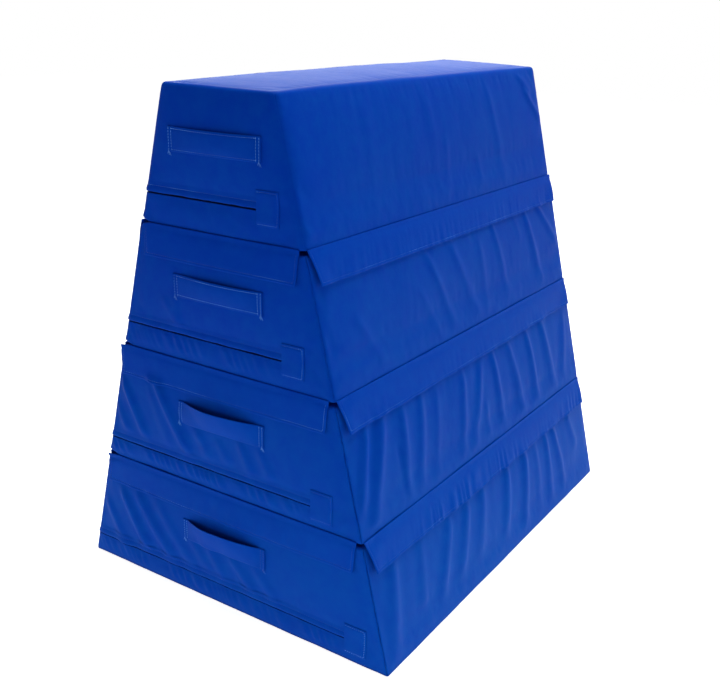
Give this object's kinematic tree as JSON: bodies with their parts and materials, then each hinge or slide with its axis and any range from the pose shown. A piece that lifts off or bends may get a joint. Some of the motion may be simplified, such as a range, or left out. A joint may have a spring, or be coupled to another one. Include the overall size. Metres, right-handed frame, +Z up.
{
  "type": "trapezoid gymnastics mat",
  "caption": "Tapering vaulting block of stacked foam sections in zipped vinyl covers, joined by hook-and-loop flaps, with a carrying strap at each end of every section.",
  "frame": {"origin": "middle of the footprint on the floor", "axes": "+Z up, X across the width that tapers, Y along the length that does not taper; the zip garages are on the -Y end"},
  "size_m": [0.9124, 1.268, 1.2268],
  "materials": {
    "cover_vinyl": "blue vinyl-coated polyester, satin with a fine grain",
    "flap_vinyl": "folded blue vinyl-coated polyester with lighter stitching, hook tape inside",
    "strap_vinyl": "folded blue vinyl strap, stitched along its edges",
    "trim_vinyl": "blue vinyl hem and patch, stitched",
    "loop_tape": "dark blue loop tape with a fine nap",
    "zip_tape": "navy woven zip tape with a nylon coil",
    "zip_metal": "nickel-plated zip slider and pull",
    "foam": "open-cell polyurethane foam, cut block"
  },
  "bodies": {
    "base_block": {"base_cover": "cover_vinyl", "base_foam_core": "foam", "base_zip_chain": "zip_tape", "base_zip_hem": "trim_vinyl", "base_zip_garage": "trim_vinyl", "base_front_handle": "strap_vinyl", "base_back_handle": "strap_vinyl", "base_front_loop_strip": "loop_tape", "base_back_loop_strip": "loop_tape", "base_left_loop_strip": "loop_tape", "base_right_loop_strip": "loop_tape"},
    "lower_block": {"lower_cover": "cover_vinyl", "lower_foam_core": "foam", "lower_zip_chain": "zip_tape", "lower_zip_hem": "trim_vinyl", "lower_zip_garage": "trim_vinyl", "lower_front_handle": "strap_vinyl", "lower_back_handle": "strap_vinyl", "lower_front_loop_strip": "loop_tape", "lower_back_loop_strip": "loop_tape", "lower_left_loop_strip": "loop_tape", "lower_right_loop_strip": "loop_tape"},
    "upper_block": {"upper_cover": "cover_vinyl", "upper_foam_core": "foam", "upper_zip_chain": "zip_tape", "upper_zip_hem": "trim_vinyl", "upper_zip_garage": "trim_vinyl", "upper_front_handle": "strap_vinyl", "upper_back_handle": "strap_vinyl", "upper_front_loop_strip": "loop_tape", "upper_back_loop_strip": "loop_tape", "upper_left_loop_strip": "loop_tape", "upper_right_loop_strip": "loop_tape"},
    "top_block": {"top_cover": "cover_vinyl", "top_foam_core": "foam", "top_zip_chain": "zip_tape", "top_zip_hem": "trim_vinyl", "top_zip_garage": "trim_vinyl", "top_front_handle": "strap_vinyl", "top_back_handle": "strap_vinyl"},
    "base_slider": {"base_zip_slider": "zip_metal", "base_zip_pull": "zip_metal"},
    "lower_slider": {"lower_zip_slider": "zip_metal", "lower_zip_pull": "zip_metal"},
    "upper_slider": {"upper_zip_slider": "zip_metal", "upper_zip_pull": "zip_metal"},
    "top_slider": {"top_zip_slider": "zip_metal", "top_zip_pull": "zip_metal"},
    "lower_front_flap": {"lower_front_flap": "flap_vinyl"},
    "lower_back_flap": {"lower_back_flap": "flap_vinyl"},
    "lower_left_flap": {"lower_left_flap": "flap_vinyl"},
    "lower_right_flap": {"lower_right_flap": "flap_vinyl"},
    "upper_front_flap": {"upper_front_flap": "flap_vinyl"},
    "upper_back_flap": {"upper_back_flap": "flap_vinyl"},
    "upper_left_flap": {"upper_left_flap": "flap_vinyl"},
    "upper_right_flap": {"upper_right_flap": "flap_vinyl"},
    "top_front_flap": {"top_front_flap": "flap_vinyl"},
    "top_back_flap": {"top_back_flap": "flap_vinyl"},
    "top_left_flap": {"top_left_flap": "flap_vinyl"},
    "top_right_flap": {"top_right_flap": "flap_vinyl"}
  },
  "joints": [
    {"name": "lower_lift", "type": "slide", "parent": "base_block", "child": "lower_block", "axis": [0, 0, 1], "range_m": [0, 0.12]},
    {"name": "upper_lift", "type": "slide", "parent": "lower_block", "child": "upper_block", "axis": [0, 0, 1], "range_m": [0, 0.12]},
    {"name": "top_lift", "type": "slide", "parent": "upper_block", "child": "top_block", "axis": [0, 0, 1], "range_m": [0, 0.12]},
    {"name": "base_zip", "type": "slide", "parent": "base_block", "child": "base_slider", "axis": [-1, 0, 0], "range_m": [0, 0.77]},
    {"name": "lower_zip", "type": "slide", "parent": "lower_block", "child": "lower_slider", "axis": [-1, 0, 0], "range_m": [0, 0.6]},
    {"name": "upper_zip", "type": "slide", "parent": "upper_block", "child": "upper_slider", "axis": [-1, 0, 0], "range_m": [0, 0.445]},
    {"name": "top_zip", "type": "slide", "parent": "top_block", "child": "top_slider", "axis": [-1, 0, 0], "range_m": [0, 0.305]},
    {"name": "lower_front_peel", "type": "hinge", "parent": "lower_block", "child": "lower_front_flap", "pos_m": [0, -0.6108, 0.3048], "axis": [-1, 0, 0], "range_deg": [0, 150]},
    {"name": "lower_back_peel", "type": "hinge", "parent": "lower_block", "child": "lower_back_flap", "pos_m": [0, 0.6108, 0.3048], "axis": [1, 0, 0], "range_deg": [0, 150]},
    {"name": "lower_left_peel", "type": "hinge", "parent": "lower_block", "child": "lower_left_flap", "pos_m": [-0.3822, 0, 0.3048], "axis": [0, 1, 0], "range_deg": [0, 150]},
    {"name": "lower_right_peel", "type": "hinge", "parent": "lower_block", "child": "lower_right_flap", "pos_m": [0.3822, 0, 0.3048], "axis": [0, -1, 0], "range_deg": [0, 150]},
    {"name": "upper_front_peel", "type": "hinge", "parent": "upper_block", "child": "upper_front_flap", "pos_m": [0, -0.6108, 0.6096], "axis": [-1, 0, 0], "range_deg": [0, 150]},
    {"name": "upper_back_peel", "type": "hinge", "parent": "upper_block", "child": "upper_back_flap", "pos_m": [0, 0.6108, 0.6096], "axis": [1, 0, 0], "range_deg": [0, 150]},
    {"name": "upper_left_peel", "type": "hinge", "parent": "upper_block", "child": "upper_left_flap", "pos_m": [-0.306, 0, 0.6096], "axis": [0, 1, 0], "range_deg": [0, 150]},
    {"name": "upper_right_peel", "type": "hinge", "parent": "upper_block", "child": "upper_right_flap", "pos_m": [0.306, 0, 0.6096], "axis": [0, -1, 0], "range_deg": [0, 150]},
    {"name": "top_front_peel", "type": "hinge", "parent": "top_block", "child": "top_front_flap", "pos_m": [0, -0.6108, 0.9144], "axis": [-1, 0, 0], "range_deg": [0, 150]},
    {"name": "top_back_peel", "type": "hinge", "parent": "top_block", "child": "top_back_flap", "pos_m": [0, 0.6108, 0.9144], "axis": [1, 0, 0], "range_deg": [0, 150]},
    {"name": "top_left_peel", "type": "hinge", "parent": "top_block", "child": "top_left_flap", "pos_m": [-0.2298, 0, 0.9144], "axis": [0, 1, 0], "range_deg": [0, 150]},
    {"name": "top_right_peel", "type": "hinge", "parent": "top_block", "child": "top_right_flap", "pos_m": [0.2298, 0, 0.9144], "axis": [0, -1, 0], "range_deg": [0, 150]}
  ]
}
